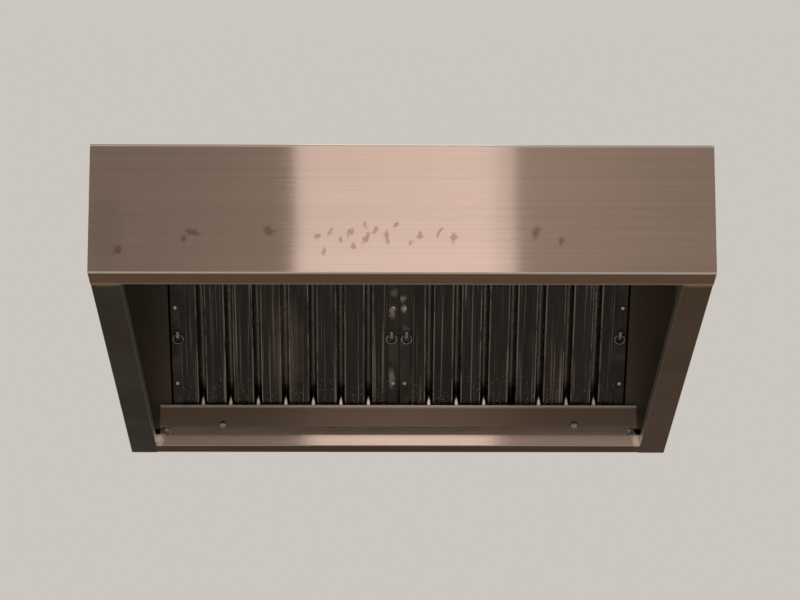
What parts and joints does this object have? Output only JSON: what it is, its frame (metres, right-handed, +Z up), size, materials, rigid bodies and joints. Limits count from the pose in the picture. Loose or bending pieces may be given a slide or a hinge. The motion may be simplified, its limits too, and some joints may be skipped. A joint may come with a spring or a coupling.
{
  "type": "food truck kitchen extraction canopy",
  "caption": "Stainless extraction canopy from a food truck's kitchen, with a folded gutter, grease trough and lift-out baffle filters.",
  "frame": {"origin": "middle of the four wall-fixing holes, on the back face that lies on the wall", "axes": "+X along the canopy, to the right seen from the front; +Y into the wall; +Z up"},
  "size_m": [1.2, 0.9, 0.55],
  "materials": {
    "stainless_sheet": "brushed",
    "stained_sheet": "stained",
    "filter_frame": "satin",
    "greased_baffle": "filmed with grease",
    "polished_wire": "polished",
    "galvanised_duct": "galvanised"
  },
  "bodies": {
    "canopy": {"front_panel": "stainless_sheet", "left_side_panel": "stainless_sheet", "right_side_panel": "stainless_sheet", "back_panel": "stainless_sheet", "top_panel": "stainless_sheet", "duct_spigot": "galvanised_duct", "grease_trough": "stainless_sheet", "filter_rest": "stained_sheet", "head_panel": "stained_sheet", "head_channel": "stained_sheet", "centre_post": "stained_sheet", "left_cheek": "stained_sheet", "right_cheek": "stained_sheet"},
    "left_filter": {"left_filter_frame": "filter_frame", "left_front_baffles": "greased_baffle", "left_rear_baffles": "greased_baffle", "left_ring_pulls": "polished_wire"},
    "right_filter": {"right_filter_frame": "filter_frame", "right_front_baffles": "greased_baffle", "right_rear_baffles": "greased_baffle", "right_ring_pulls": "polished_wire"}
  },
  "joints": [
    {"name": "left_filter_lift", "type": "slide", "parent": "canopy", "child": "left_filter", "axis": [0, -0.5736, 0.8192], "range_m": [0, 0.025]},
    {"name": "right_filter_lift", "type": "slide", "parent": "canopy", "child": "right_filter", "axis": [0, -0.5736, 0.8192], "range_m": [0, 0.025]}
  ]
}
